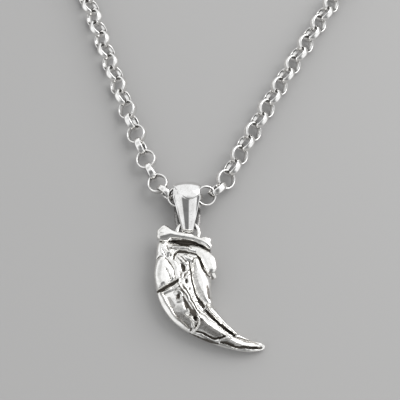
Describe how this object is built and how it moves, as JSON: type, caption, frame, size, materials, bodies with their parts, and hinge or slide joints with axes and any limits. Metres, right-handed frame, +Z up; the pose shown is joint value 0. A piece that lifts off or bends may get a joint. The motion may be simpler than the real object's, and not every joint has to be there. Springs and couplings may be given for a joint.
{
  "type": "raptor claw pendant on a chain",
  "caption": "Curved silver raptor claw with a small bone across its top, hung by a tapered bail on a closed belcher chain, laid flat.",
  "frame": {"origin": "bottom centre of the whole necklace's box, on the surface that it lies on", "axes": "+Z up from the surface through the pendant's front, -Y from the clasp down to the claw's tip, +X to the side that the tip curves to"},
  "size_m": [0.1209, 0.2366, 0.007],
  "materials": {
    "cast_silver": "polished cast silver, oxidised in the cracks",
    "polished_silver": "bright polished silver",
    "chain_silver": "polished silver wire, slightly worn"
  },
  "bodies": {
    "root": {"claw": "cast_silver", "bail": "polished_silver", "chain_left": "chain_silver", "chain_right": "chain_silver", "clasp": "polished_silver"}
  },
  "joints": []
}
